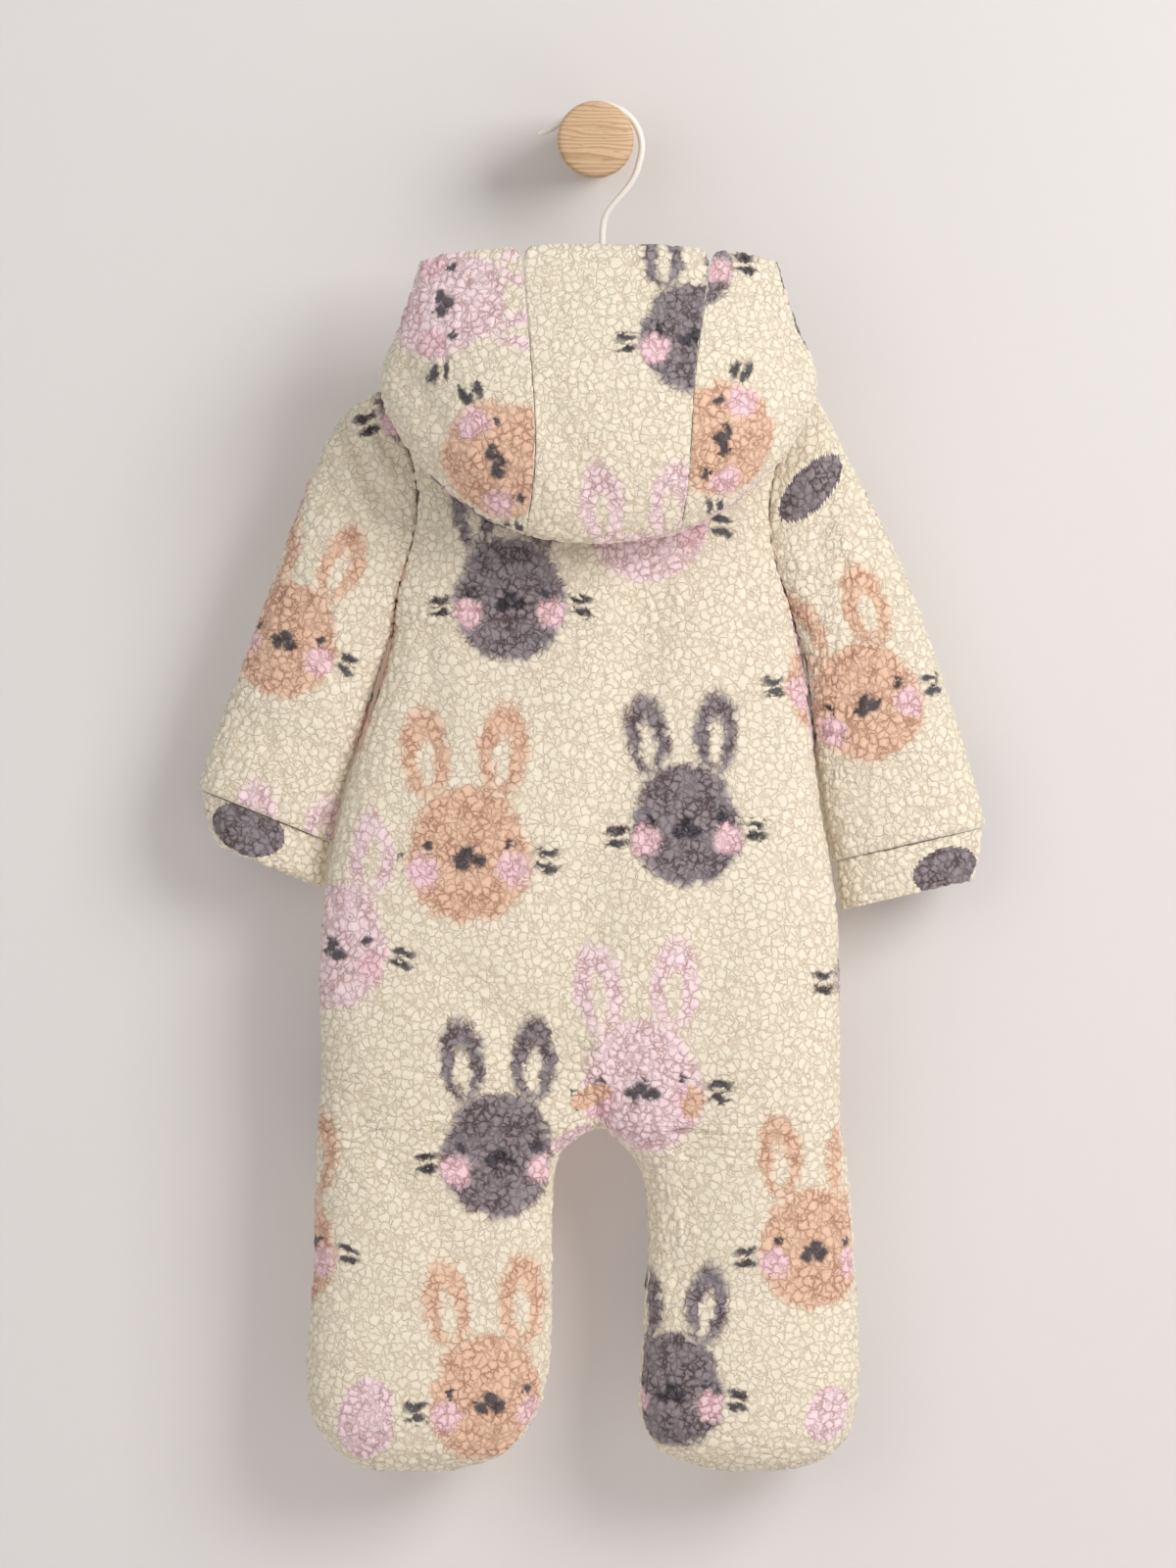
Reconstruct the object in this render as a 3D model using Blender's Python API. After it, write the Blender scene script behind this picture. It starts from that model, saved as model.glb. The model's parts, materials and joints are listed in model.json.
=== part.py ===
"""Hooded all-in-one of thick fleece, seen from its back, hung on a wire hook and a wall peg.

Millimetres are used in every table and turned into metres when a mesh is made.
x runs to the right as seen from the back of the garment, y runs to the wall, z runs up.
The origin is the middle of the peg's back face, on the wall, so "down" means -z.
"""

import math

import bmesh
import bpy
import numpy as np

MM = 0.001
CLOTH = 5.0  # thickness of the fleece with its pile
SEAM = 0.3  # open line between two pieces that are sewn together

# Hanger and peg
HANG_Y = -42.0  # plane of the wire hook
WIRE_R = 1.9
HOOK_CENTRE = (2.0, -3.0)  # x and z of the round top of the hook
HOOK_R = 22.7
PEG_FACE_R = 16.0
PEG_HEAD_R = 20.8

HOOK_TURN = (135.0, -20.0)  # the round top runs between these angles, in degrees
HOOK_TIP = ((-30.1, 3.9), (-25.0, 5.5), (-20.2, 8.8))
HOOK_NECK = ((21.6, -18.5), (16.8, -25.6), (11.4, -31.8), (6.4, -37.4), (3.8, -43.5), (3.2, -51.0),
             (3.2, -78.0), (3.2, -110.9))
ARM_R = 3.4
# The hanger's arms. Columns: x, how far behind the hook's plane, z.
ARM_PATH = (
    (-88.0, 3.0, -142.5), (-56.0, 3.0, -133.0), (-24.0, 1.0, -124.0), (-2.0, 0.0, -118.2),
    (3.2, 0.0, -117.0), (8.4, 0.0, -118.2), (26.0, 1.0, -123.0), (58.0, 3.0, -132.5),
    (90.0, 3.0, -142.5),
)
# The turned peg. Columns: y, radius.
PEG_PROFILE = (
    (0.0, PEG_FACE_R), (-1.5, 17.6), (-24.0, 17.6), (-32.0, 18.4), (-35.5, 18.4), (-38.0, 16.9),
    (-46.0, 16.9), (-48.5, 18.8), (-50.5, 20.4), (-52.5, PEG_HEAD_R), (-58.5, PEG_HEAD_R),
    (-60.6, 20.0), (-61.8, 17.6), (-62.6, 9.0),
)

# Zip
ZIP_GAP = 4.0  # from the middle of the zip to each front edge
ZIP_TOP = 146.0
ZIP_END = 495.0
ZIP_SECTION = ((-3.6, -3.4), (3.6, -3.4), (3.6, -2.0), (2.4, -2.0), (1.5, -0.2), (-1.5, -0.2),
               (-2.4, -2.0), (-3.6, -2.0))
SLIDER_DOWN = 156.0  # level of the slider's pin
SLIDER_LIFT = 0.35  # from the fronts' outside to the slider
SLIDER_HALF = (4.4, 6.0)  # half its width and height
SLIDER_THICK = 2.0
PIN_LIFT = 3.0  # from the slider's face to the middle of the pin
PIN_R = 0.8
PIN_HALF = 3.3
BORE_R = 1.15
KNUCKLE_R = 2.3
PULL_THICK = 1.5
# The pull tab below its pin. Columns: half width, how far below the pin.
PULL_OUTLINE = ((2.4, 1.7), (3.2, 6.0), (3.2, 15.6), (1.9, 17.0))

# Levels of the body, in mm below the origin
SHOULDER = 133.4
UNDERARM = 261.4
CROTCH = 528.2
TOE = 713.0
MIDDLE_X = 2.1  # the middle of the body
NECK_HALF = 50.7
NECK_BACK_DEPTH = 27.5
NECK_FRONT_DEPTH = 20.5
NECK_SIDE = 117.0
NECK_BACK = 128.0
NECK_FRONT = 144.0

# The side seams and armholes. Columns: down, left x, right x.
BODY_EDGE = (
    (133.4, -112.0, 115.0),
    (155.0, -103.5, 104.0),
    (176.0, -96.8, 95.5),
    (205.0, -95.0, 92.0),
    (226.0, -101.0, 95.6),
    (246.0, -107.0, 102.4),
    (263.0, -108.5, 107.1),
    (276.0, -110.8, 110.3),
    (310.0, -121.3, 115.0),
    (344.0, -132.5, 118.1),
    (370.0, -139.1, 122.3),
    (400.0, -144.4, 127.6),
    (450.0, -148.3, 130.7),
    (503.0, -146.8, 130.7),
    (530.0, -149.2, 131.3),
    (556.0, -150.2, 135.5),
    (608.0, -151.2, 139.1),
    (660.0, -154.9, 141.2),
    (678.0, -153.8, 140.2),
    (695.6, -145.4, 133.9),
    (704.0, -136.5, 126.0),
    (710.5, -126.5, 112.0),
    (713.0, -114.5, 98.0),
)

# The inner edges of the two legs. Columns: down, left leg x, right leg x.
LEG_INNER = (
    (528.2, 2.1, 2.1),
    (530.8, -3.6, 6.4),
    (534.5, -10.5, 10.5),
    (540.0, -17.8, 16.0),
    (546.0, -21.0, 22.0),
    (556.0, -22.8, 25.4),
    (582.0, -23.6, 28.2),
    (617.0, -23.2, 26.3),
    (651.5, -24.2, 24.7),
    (669.4, -26.8, 22.9),
    (681.5, -30.5, 22.8),
    (692.0, -37.3, 27.3),
    (702.5, -46.5, 34.1),
    (708.0, -58.0, 46.0),
    (713.0, -79.3, 66.0),
)

# Depths of the body. Columns: down, middle y, back half depth, front half depth.
BODY_DEPTH = (
    (117.0, -43.0, 27.0, 20.0),
    (160.0, -45.0, 29.0, 21.0),
    (205.0, -47.5, 31.0, 23.5),
    (261.0, -50.0, 31.0, 25.0),
    (330.0, -52.0, 30.5, 26.5),
    (400.0, -53.5, 31.0, 27.5),
    (470.0, -53.5, 31.0, 26.5),
    (528.0, -52.5, 27.5, 24.0),
    (600.0, -51.0, 25.0, 22.5),
    (660.0, -50.0, 25.5, 23.5),
    (713.0, -49.0, 24.0, 22.0),
)

# Soft folds in the cloth, each a trough from a to b on the back of the body.
# Columns: a x, a down, b x, b down, half width, depth.
BACK_FOLDS = (
    (34.0, 232.0, 22.0, 330.0, 20.0, 2.2),
    (-66.0, 236.0, -40.0, 300.0, 15.0, 1.8),
    (52.0, 300.0, 66.0, 410.0, 20.0, 1.8),
    (-16.0, 392.0, -6.0, 500.0, 22.0, 2.4),
    (-118.0, 300.0, -84.0, 342.0, 12.0, 2.2),
    (98.0, 282.0, 72.0, 318.0, 11.0, 2.0),
    (-112.0, 520.0, -70.0, 540.0, 13.0, 1.6),
    (104.0, 530.0, 66.0, 552.0, 13.0, 1.6),
    (-110.0, 610.0, -60.0, 622.0, 13.0, 1.4),
    (50.0, 640.0, 104.0, 628.0, 13.0, 1.4),
)

# Rings of the sleeves. Columns: outer x, outer down, inner x, inner down, half depth, middle y.
SLEEVE_LEFT = (
    (-112.0, 133.4, -108.5, 261.4, 13.5, -46.5),
    (-125.5, 137.6, -113.6, 276.2, 18.0, -46.0),
    (-137.5, 148.1, -117.6, 289.8, 20.5, -44.5),
    (-148.0, 168.0, -121.6, 304.5, 21.5, -43.0),
    (-157.5, 190.6, -125.6, 319.2, 22.0, -42.0),
    (-167.6, 219.5, -130.2, 333.9, 22.0, -41.0),
    (-179.5, 251.0, -134.0, 347.0, 21.5, -40.0),
    (-191.5, 285.1, -137.4, 359.1, 21.0, -39.0),
    (-204.5, 316.6, -139.4, 369.6, 20.0, -38.0),
    (-213.6, 347.0, -140.6, 376.6, 18.5, -37.0),
)
SLEEVE_RIGHT = (
    (115.0, 133.4, 107.0, 261.4, 13.5, -46.5),
    (121.5, 141.0, 112.2, 276.2, 18.0, -46.0),
    (128.0, 155.5, 114.4, 292.9, 20.5, -44.5),
    (138.0, 174.8, 115.8, 311.3, 21.5, -43.0),
    (149.5, 195.8, 117.0, 327.1, 22.0, -42.0),
    (161.5, 220.5, 118.6, 342.8, 22.0, -41.0),
    (172.5, 247.0, 120.6, 355.9, 21.5, -40.0),
    (187.0, 290.0, 122.8, 368.0, 21.0, -39.0),
    (201.5, 336.0, 124.6, 378.0, 20.0, -38.0),
    (209.8, 367.5, 126.2, 386.4, 18.5, -37.0),
)
# Folds on the back of each sleeve, as in BACK_FOLDS.
LEFT_SLEEVE_FOLDS = (
    (-138.0, 162.0, -112.0, 196.0, 7.0, 3.0),
    (-150.0, 196.0, -118.0, 232.0, 9.0, 2.6),
    (-158.0, 262.0, -134.0, 276.0, 10.0, 2.2),
    (-196.0, 330.0, -156.0, 340.0, 9.0, 1.8),
)
RIGHT_SLEEVE_FOLDS = (
    (106.0, 200.0, 128.0, 232.0, 9.0, 2.6),
    (120.0, 262.0, 150.0, 280.0, 10.0, 2.4),
    (132.0, 330.0, 168.0, 338.0, 10.0, 2.0),
)

# Cuff bands. Columns: outer x, outer down, inner x, inner down, half depth, middle y.
CUFF_LEFT = (
    (-211.7, 348.3, -142.2, 376.5, 16.5, -37.0),
    (-208.4, 366.0, -143.6, 390.4, 16.0, -36.5),
    (-203.6, 377.4, -145.6, 401.0, 15.0, -36.0),
)
CUFF_RIGHT = (
    (207.6, 368.6, 127.8, 386.7, 16.5, -37.0),
    (206.2, 385.0, 129.4, 401.4, 16.0, -36.5),
    (201.6, 396.6, 131.4, 412.6, 15.0, -36.0),
)

# Ribs of the hood on the right side; the left side mirrors them.
# Columns: place from the middle of the back (0) to the middle of the front (1), then x, y and
# down at the neck seam, the roll over it, the inner layer, the bottom fold, the lower and upper
# outer layer, and the edge of the face opening.
HOOD_RIBS = (
    (0.00, (0, -68, 127.7), (0, -78, 114), (0, -92, 158), (0, -108, 218), (0, -129, 180),
     (0, -124, 120), (0, -95, 58.5)),
    (0.16, (16, -67, 126.6), (17, -77, 113), (24, -91, 156), (33, -106, 215), (36, -127, 179),
     (36, -122, 120), (33, -94, 59)),
    (0.33, (30, -63, 124), (33, -71, 110), (46, -87, 146), (64, -101, 202), (70, -120, 172),
     (69, -115, 117), (62, -91, 61.5)),
    (0.50, (41, -57, 120.6), (45, -63, 105), (67, -75, 118), (96, -88, 171), (106, -99, 150),
     (97, -98, 108), (84.5, -86, 64.5)),
    (0.66, (47.8, -49, 117.4), (53, -51, 109), (76, -58, 108), (104, -69, 131), (115, -76, 124),
     (103.5, -79, 98), (94.5, -79, 69.5)),
    (0.79, (46, -38, 119), (50, -38.5, 113), (58, -42, 108), (68, -47, 105), (74, -52, 100),
     (77, -57, 91.5), (76, -61, 82)),
    (0.90, (31, -29, 132), (33, -28.5, 127), (35.5, -28.5, 121), (38, -30, 115),
     (39.5, -31.5, 111), (40.5, -34, 105.5), (41, -37, 100)),
    (1.00, (7, -26, 143.7), (7.7, -25.6, 140.5), (8.8, -25.3, 136), (9.8, -25.3, 131),
     (10.6, -25.7, 127.5), (11.4, -26.7, 124), (12, -28, 120)),
)
HOOD_LEFT = 0.975  # the left side hangs a little closer
HOOD_LEVELS = (0.0, 0.11, 0.31, 0.53, 0.68, 0.85, 1.0)
# Where the two seams beside the centre panel run. Columns: level, left place, right place.
HOOD_SEAMS = (
    (0.0, -0.19, 0.22),
    (0.53, -0.19, 0.215),
    (0.68, -0.145, 0.225),
    (0.85, -0.155, 0.245),
    (1.0, -0.20, 0.325),
)


def follow(levels, values, at):
    """Smooth curve through the values, read at the wanted levels."""
    levels, values = np.asarray(levels, float), np.asarray(values, float)
    at = np.asarray(at, float)
    slope = np.gradient(values, levels, axis=0)
    i = np.clip(np.searchsorted(levels, at, side="right") - 1, 0, len(levels) - 2)
    span = levels[i + 1] - levels[i]
    t = np.clip((at - levels[i]) / span, 0.0, 1.0)
    if values.ndim > 1:
        shape = t.shape + (1,) * (values.ndim - 1)
        t, span = t.reshape(shape), span.reshape(shape)
    a = (1 + 2 * t) * (1 - t) ** 2 * values[i] + t * (1 - t) ** 2 * span * slope[i]
    return a + t * t * (3 - 2 * t) * values[i + 1] + t * t * (t - 1) * span * slope[i + 1]


def column(table, name):
    """One column of a table by its number, ready for follow()."""
    return [row[0] for row in table], [row[name] for row in table]


def edge_left(down):
    return follow(*column(BODY_EDGE, 1), down)


def edge_right(down):
    return follow(*column(BODY_EDGE, 2), down)


def middle_y(down):
    return follow(*column(BODY_DEPTH, 1), down)


def rounding(s):
    """Quarter circle from 0 to 1: a surface that closes with a round edge."""
    s = np.clip(s, 0.0, 1.0)
    return np.sqrt(1.0 - (1.0 - s) ** 2)


def trough(x, down, folds):
    """How far the folds press the cloth in at a place."""
    total = np.zeros_like(np.asarray(x, float))
    for ax, az, bx, bz, half, depth in folds:
        length = math.hypot(bx - ax, bz - az)
        ux, uz = (bx - ax) / length, (bz - az) / length
        along = (x - ax) * ux + (down - az) * uz
        past = np.maximum(np.abs(along - length / 2) - length / 2, 0.0)
        off = (x - ax) * uz - (down - az) * ux
        total = total + depth * np.exp(-(off / half) ** 2 - (past / (1.2 * half)) ** 2)
    return total


# Rows of the body panels: crowded where the cloth turns.
TURNS = 12
ARM = np.pi * np.arange(TURNS + 1) / TURNS
ARM_DOWN = SHOULDER + (UNDERARM - SHOULDER) * (1 - np.cos(ARM)) / 2
TORSO_DOWN = np.array(
    (276, 294, 315, 337, 360, 384, 407, 428, 448, 467, 483, 497, 500, 510, 518, 524.5)
)
LEG_DOWN = np.array(
    (530.8, 535, 541, 550, 564, 584, 608, 632, 652, 669, 682, 692.5, 701, 707, 711, 713)
)
ROWS = np.concatenate([ARM_DOWN, TORSO_DOWN, [CROTCH], LEG_DOWN])
APEX_ROW = TURNS + 1 + len(TORSO_DOWN)
ACROSS = (0.0, 0.1, 0.21, 0.34, 0.51, 0.705, 0.765, 0.835, 0.915, 1.0)
NECK_COLUMN = ACROSS.index(0.705)
NECK_SHARE = math.cos(math.pi / 2 * ACROSS[NECK_COLUMN])
ARMHOLE_HALF = 13.5


def armhole_half(row):
    return ARMHOLE_HALF * math.sin(ARM[row]) ** 0.8 if row <= TURNS else 0.0


def body_point(row, place, side, facing):
    """A point on the outside of the body or a leg.

    place runs from the side seam (0) to the middle (1), side is -1 left or 1 right, and facing
    is -1 for the back and 1 for the front.
    """
    down = ROWS[row]
    table = LEG_INNER if down > CROTCH else None
    outer = edge_left(down) if side < 0 else edge_right(down)
    inner = follow(*column(table, 1 if side < 0 else 2), down) if table else MIDDLE_X
    # Above the crotch the two leg shapes flow together into one body shape. In the middle
    # the cloth turns in round the crotch, further out it changes slowly.
    above = max(0.0, CROTCH - down)
    slow = min(1.0, above / 120.0)
    body = slow * slow * (3 - 2 * slow)
    legs = 1.0 - body
    share = place**4
    body_swell = share * float(rounding(above / 70.0)) + (1 - share) * body
    turn_body, turn_leg = math.pi / 2 * place, math.pi * place
    x_body = inner - (inner - outer) * math.cos(turn_body)
    x_leg = (outer + inner) / 2 - (inner - outer) / 2 * math.cos(turn_leg)
    x = (1 - legs) * x_body + legs * x_leg
    if facing > 0 and down < CROTCH:
        x += side * zip_half(down) * place**24
    full = follow(*column(BODY_DEPTH, 2 if facing < 0 else 3), down)
    hole = armhole_half(row)
    open_to = min(1.0, max(0.0, down - SHOULDER) / 46.0)
    if row <= TURNS:
        # The shoulder line slopes up to the neck, and every column starts from it.
        top = top_edge(place, facing)
        down = top + (down - SHOULDER) * (UNDERARM - top) / (UNDERARM - SHOULDER)
        open_to = (down - top) / 46.0
    swell = abs(math.sin(turn_body)) ** 0.72 * body_swell
    swell += abs(math.sin(turn_leg)) ** 0.8 * (1 - body_swell)
    toe = rounding((TOE - down) / 27.0)
    neck = neck_depth(place, facing) if row <= TURNS else 0.0
    ease = float(rounding(open_to))
    depth = neck * (1 - ease) + full * swell * ease * toe + hole * (1 - swell) ** 2
    if facing < 0:
        depth -= min(float(trough(x, down, BACK_FOLDS)), 0.25 * depth)
    return np.array((x, middle_y(down) + facing * depth, -down))


def in_neck(place):
    """1 at the middle of the neck, 0 at its sides and along the shoulders."""
    return max(0.0, 1.0 - (math.cos(math.pi / 2 * place) / NECK_SHARE) ** 2)


def top_edge(place, facing):
    """The shoulder line outside the neck and the neckline inside it."""
    if place > ACROSS[NECK_COLUMN]:
        return NECK_SIDE + ((NECK_BACK if facing < 0 else NECK_FRONT) - NECK_SIDE) * in_neck(place)
    out = (math.cos(math.pi / 2 * place) - NECK_SHARE) / (1.0 - NECK_SHARE)
    return NECK_SIDE + (SHOULDER - NECK_SIDE) * out


def neck_depth(place, facing):
    """Half depth of the open neck."""
    return (NECK_BACK_DEPTH if facing < 0 else NECK_FRONT_DEPTH) * math.sqrt(in_neck(place))


def neck_out(x, y):
    """The way out of the round neck at a place on it."""
    depth = NECK_BACK_DEPTH if y < middle_y(NECK_SIDE) else NECK_FRONT_DEPTH
    way = np.array(((x - MIDDLE_X) / NECK_HALF**2, (y - middle_y(NECK_SIDE)) / depth**2, 0.0))
    return way / np.linalg.norm(way)


def zip_half(down):
    """Half of the gap between the two fronts: room for the zip, then a plain seam."""
    closing = min(1.0, max(0.0, (ZIP_END + 5.0 - down) / 3.0))
    return SEAM / 2 + (ZIP_GAP - SEAM / 2) * closing


class Cloth:
    """One sheet of cloth: its outside, and which way its thickness goes at each point."""

    def __init__(self):
        self.points, self.keep, self.share, self.faces, self.forced = [], [], [], [], {}

    def add(self, point, keep=(1, 1, 1), forced=None, share=1.0):
        """keep says which parts of the normal count, forced gives it whole, share thins."""
        self.points.append(np.asarray(point, float))
        self.keep.append(keep)
        self.share.append(share)
        if forced is not None:
            self.forced[len(self.points) - 1] = np.asarray(forced, float)
        return len(self.points) - 1

    def quad(self, a, b, c, d, flip=False):
        self.faces.append((d, c, b, a) if flip else (a, b, c, d))

    def solid(self, name, material):
        """Give the sheet its thickness and close it along every edge."""
        points = np.array(self.points)
        normals = np.zeros_like(points)
        for face in self.faces:
            a, b, c, d = (points[i] for i in face)
            normal = np.cross(c - a, d - b)
            for i in face:
                normals[i] += normal
        normals *= np.array(self.keep)
        for i, normal in self.forced.items():
            normals[i] = normal
        normals /= np.linalg.norm(normals, axis=1)[:, None]
        inner = points - CLOTH * np.array(self.share)[:, None] * normals
        count = len(points)
        used = {(f[k], f[(k + 1) % 4]) for f in self.faces for k in range(4)}
        faces = list(self.faces)
        faces += [tuple(i + count for i in reversed(f)) for f in self.faces]
        for a, b in sorted(used):
            if (b, a) in used:
                continue
            # Both pieces at a seam cut their edge faces along the same line.
            if tuple(points[a][[2, 0]]) > tuple(points[b][[2, 0]]):
                faces += [(b, a, b + count), (a, a + count, b + count)]
            else:
                faces += [(b, a, a + count), (b, a + count, b + count)]
        return make(name, np.concatenate([points, inner]), faces, material)


def make(name, points, faces, material, at=(0.0, 0.0, 0.0)):
    """A named object from points in millimetres, with its own origin at a place."""
    mesh = bpy.data.meshes.new(name)
    mesh.from_pydata([tuple((np.asarray(p, float) - at) * MM) for p in points], [], faces)
    mesh.validate()
    mesh.materials.append(material)
    obj = bpy.data.objects.new(name, mesh)
    obj.location = np.array(at) * MM
    bpy.context.scene.collection.objects.link(obj)
    turn_outward(obj)
    return obj


def paint(name, colour, rough, metal=0.0):
    material = bpy.data.materials.new(name)
    material.use_nodes = True
    shader = material.node_tree.nodes["Principled BSDF"]
    shader.inputs["Base Color"].default_value = (*colour, 1.0)
    shader.inputs["Roughness"].default_value = rough
    shader.inputs["Metallic"].default_value = metal
    material.diffuse_color = (*colour, 1.0)
    return material


def armhole_ring(side):
    """The armhole as a closed ring, from the shoulder down the back and up the front.

    It gives each point and the direction of the cloth's thickness there.
    """
    ring = []
    for facing in (-1, 1):
        rows = range(TURNS + 1) if facing < 0 else range(TURNS - 1, 0, -1)
        ring += [body_point(row, 0.0, side, facing) for row in rows]
    ring = np.array(ring)
    along = np.roll(ring, -1, axis=0) - np.roll(ring, 1, axis=0)
    out = np.stack([np.zeros(len(ring)), along[:, 2], -along[:, 1]], axis=1)
    out /= np.linalg.norm(out, axis=1)[:, None]
    if out[0, 2] < 0:
        out = -out
    return ring, out


def body_rim(row, column_number, side, facing, rings):
    """Which parts of the normal count at the edges of a panel."""
    if column_number == 0 and row <= TURNS:
        ring, out = rings[side]
        return None, out[row if facing < 0 else -row % len(ring)]
    if column_number == 0:
        return (1, 0, 1), None
    if row == 0 and column_number <= NECK_COLUMN:
        return (1, 0, 1), None
    if row == 0 and column_number > NECK_COLUMN:
        spot = body_point(row, ACROSS[column_number], side, facing)
        return None, neck_out(spot[0], spot[1])
    if row == len(ROWS) - 1:
        return (1, 0, 1), None
    if column_number == len(ACROSS) - 1:
        if row == APEX_ROW:
            return None, (0, 0, -1)
        if row > APEX_ROW:
            return (1, 0, 1), None
        if facing > 0:
            return (0, 1, 1), None
    return (1, 1, 1), None


def body_half(cloth, side, facing, rings, middle=None):
    """One half of a body panel with its leg, as a grid of rows and columns."""
    grid = {}
    last = len(ACROSS) - 1
    for row in range(len(ROWS)):
        for number, place in enumerate(ACROSS):
            if middle is not None and number == last and row <= APEX_ROW and row in middle:
                grid[row, number] = middle[row]
                continue
            point = body_point(row, place, side, facing)
            if row == APEX_ROW and number == last:
                point[0] = MIDDLE_X + (side * SEAM / 2 if facing > 0 else 0.0)
            point[1] += facing * SEAM / 2
            if number == 0 and row <= TURNS:
                point[0] -= side * SEAM / 2
            keep, forced = body_rim(row, number, side, facing, rings)
            grid[row, number] = cloth.add(point, keep or (1, 1, 1), forced)
            if middle is not None and number == last and row <= APEX_ROW:
                middle[row] = grid[row, number]
    flip = side * facing < 0
    for row in range(len(ROWS) - 1):
        for number in range(last):
            a, b = grid[row, number], grid[row, number + 1]
            c, d = grid[row + 1, number + 1], grid[row + 1, number]
            cloth.quad(a, d, c, b, flip)
    return grid


def ring_out(points, centre, reach):
    """The ways out of a flat ring, in its own plane."""
    axis = np.cross(reach, (0.0, 1.0, 0.0))
    out = np.cross(np.roll(points, -1, axis=0) - np.roll(points, 1, axis=0), axis)
    out /= np.linalg.norm(out, axis=1)[:, None]
    return out * np.sign(np.sum(out * (points - centre)))


def arm_ring(table, step, turn):
    """The points of one ring of a sleeve or cuff, its centre and its reach outward."""
    ox, oz, ix, iz, half, mid = follow(range(len(table)), table, step)
    centre = np.array(((ox + ix) / 2, mid, -(oz + iz) / 2))
    reach = np.array(((ox - ix) / 2, 0.0, -(oz - iz) / 2))
    points = centre + np.cos(turn)[:, None] * reach
    points[:, 1] -= half * np.sign(np.sin(turn)) * np.abs(np.sin(turn)) ** 0.8
    return points, centre, reach


def add_ring(cloth, points, forced, before, side):
    """Add a ring of points and the faces that join it to the ring before it."""
    ids = [cloth.add(p, (1, 1, 1), way) for p, way in zip(points, forced)]
    if before is not None:
        for j in range(len(ids)):
            k = (j + 1) % len(ids)
            cloth.quad(before[j], before[k], ids[k], ids[j], side < 0)
    return ids


def sleeve(name, table, side, folds, ring, out, material):
    """A sleeve as a row of rings from the armhole to the cuff seam."""
    table = np.array(table)
    steps = np.concatenate([[0, 0.5], np.linspace(1, len(table) - 1, 11)])
    cloth = Cloth()
    count = len(ring)
    turn = 2 * np.pi * np.arange(count) / count
    first = None
    before = None
    for number, step in enumerate(steps):
        points, centre, reach = arm_ring(table, step, turn)
        if first is None:
            first = ring - points
        points = points + first * max(0.0, 1 - step / 4.0) ** 2
        press = trough(points[:, 0], -points[:, 2], folds) * np.clip(np.sin(turn) * 2, 0, 1)
        points[:, 1] += press
        if number == 0:
            points[:, 0] += side * SEAM / 2
            points[:, 1] = ring[:, 1]
        forced = out if number == 0 else [None] * count
        if number == len(steps) - 1:
            forced = ring_out(points, centre, reach)
        before = add_ring(cloth, points, forced, before, side)
    return cloth.solid(name, material)


def cuff(name, table, side, material):
    """A cuff band, a short tube with flat ends."""
    table = np.array(table)
    cloth = Cloth()
    count = 24
    turn = 2 * np.pi * np.arange(count) / count
    before = None
    steps = (0.0, 0.7, 1.4, 2.0)
    for step in steps:
        points, centre, reach = arm_ring(table, step, turn)
        forced = [None] * count
        if step in (steps[0], steps[-1]):
            forced = ring_out(points, centre, reach)
        before = add_ring(cloth, points, forced, before, side)
    return cloth.solid(name, material)


def hood_net():
    """Every rib of the hood, left ones mirrored, as an array of places and of points."""
    places, net = [], []
    for row in reversed(HOOD_RIBS[1:]):
        places.append(-row[0])
        net.append([(-x * HOOD_LEFT, y, -down) for x, y, down in row[1:]])
    for row in HOOD_RIBS:
        places.append(row[0])
        net.append([(x, y, -down) for x, y, down in row[1:]])
    return np.array(places), np.array(net, float)


def hood_point(places, net, place, level):
    """A point half-way through the hood's cloth, with its lower edge set on the neckline."""
    ribs = follow(HOOD_LEVELS, np.swapaxes(net, 0, 1), np.array(level))
    point = follow(places, ribs, np.array(place))
    if level < 0.22:
        ribs = np.swapaxes(net, 0, 1)[0]
        foot = follow(places, ribs, np.array(place))
        point = point + (on_neckline(foot) - foot) * (1 - level / 0.22) ** 2
    return point


def on_neckline(spot):
    """The nearest place on the neckline, half-way through its cloth."""
    back = spot[1] < middle_y(NECK_SIDE)
    depth = NECK_BACK_DEPTH if back else NECK_FRONT_DEPTH
    turn = math.atan2((spot[1] - middle_y(NECK_SIDE)) / depth, (spot[0] - MIDDLE_X) / NECK_HALF)
    x = MIDDLE_X + NECK_HALF * math.cos(turn)
    y = middle_y(NECK_SIDE) + depth * math.sin(turn)
    columns = ACROSS[NECK_COLUMN:][::-1]
    shares = [math.cos(math.pi / 2 * place) / NECK_SHARE for place in columns]
    downs = [top_edge(place, -1 if back else 1) for place in columns]
    down = np.interp(abs(math.cos(turn)), shares, downs)
    out = neck_out(x, y)
    return np.array((x, y, SEAM - down)) - out * CLOTH / 2


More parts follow.
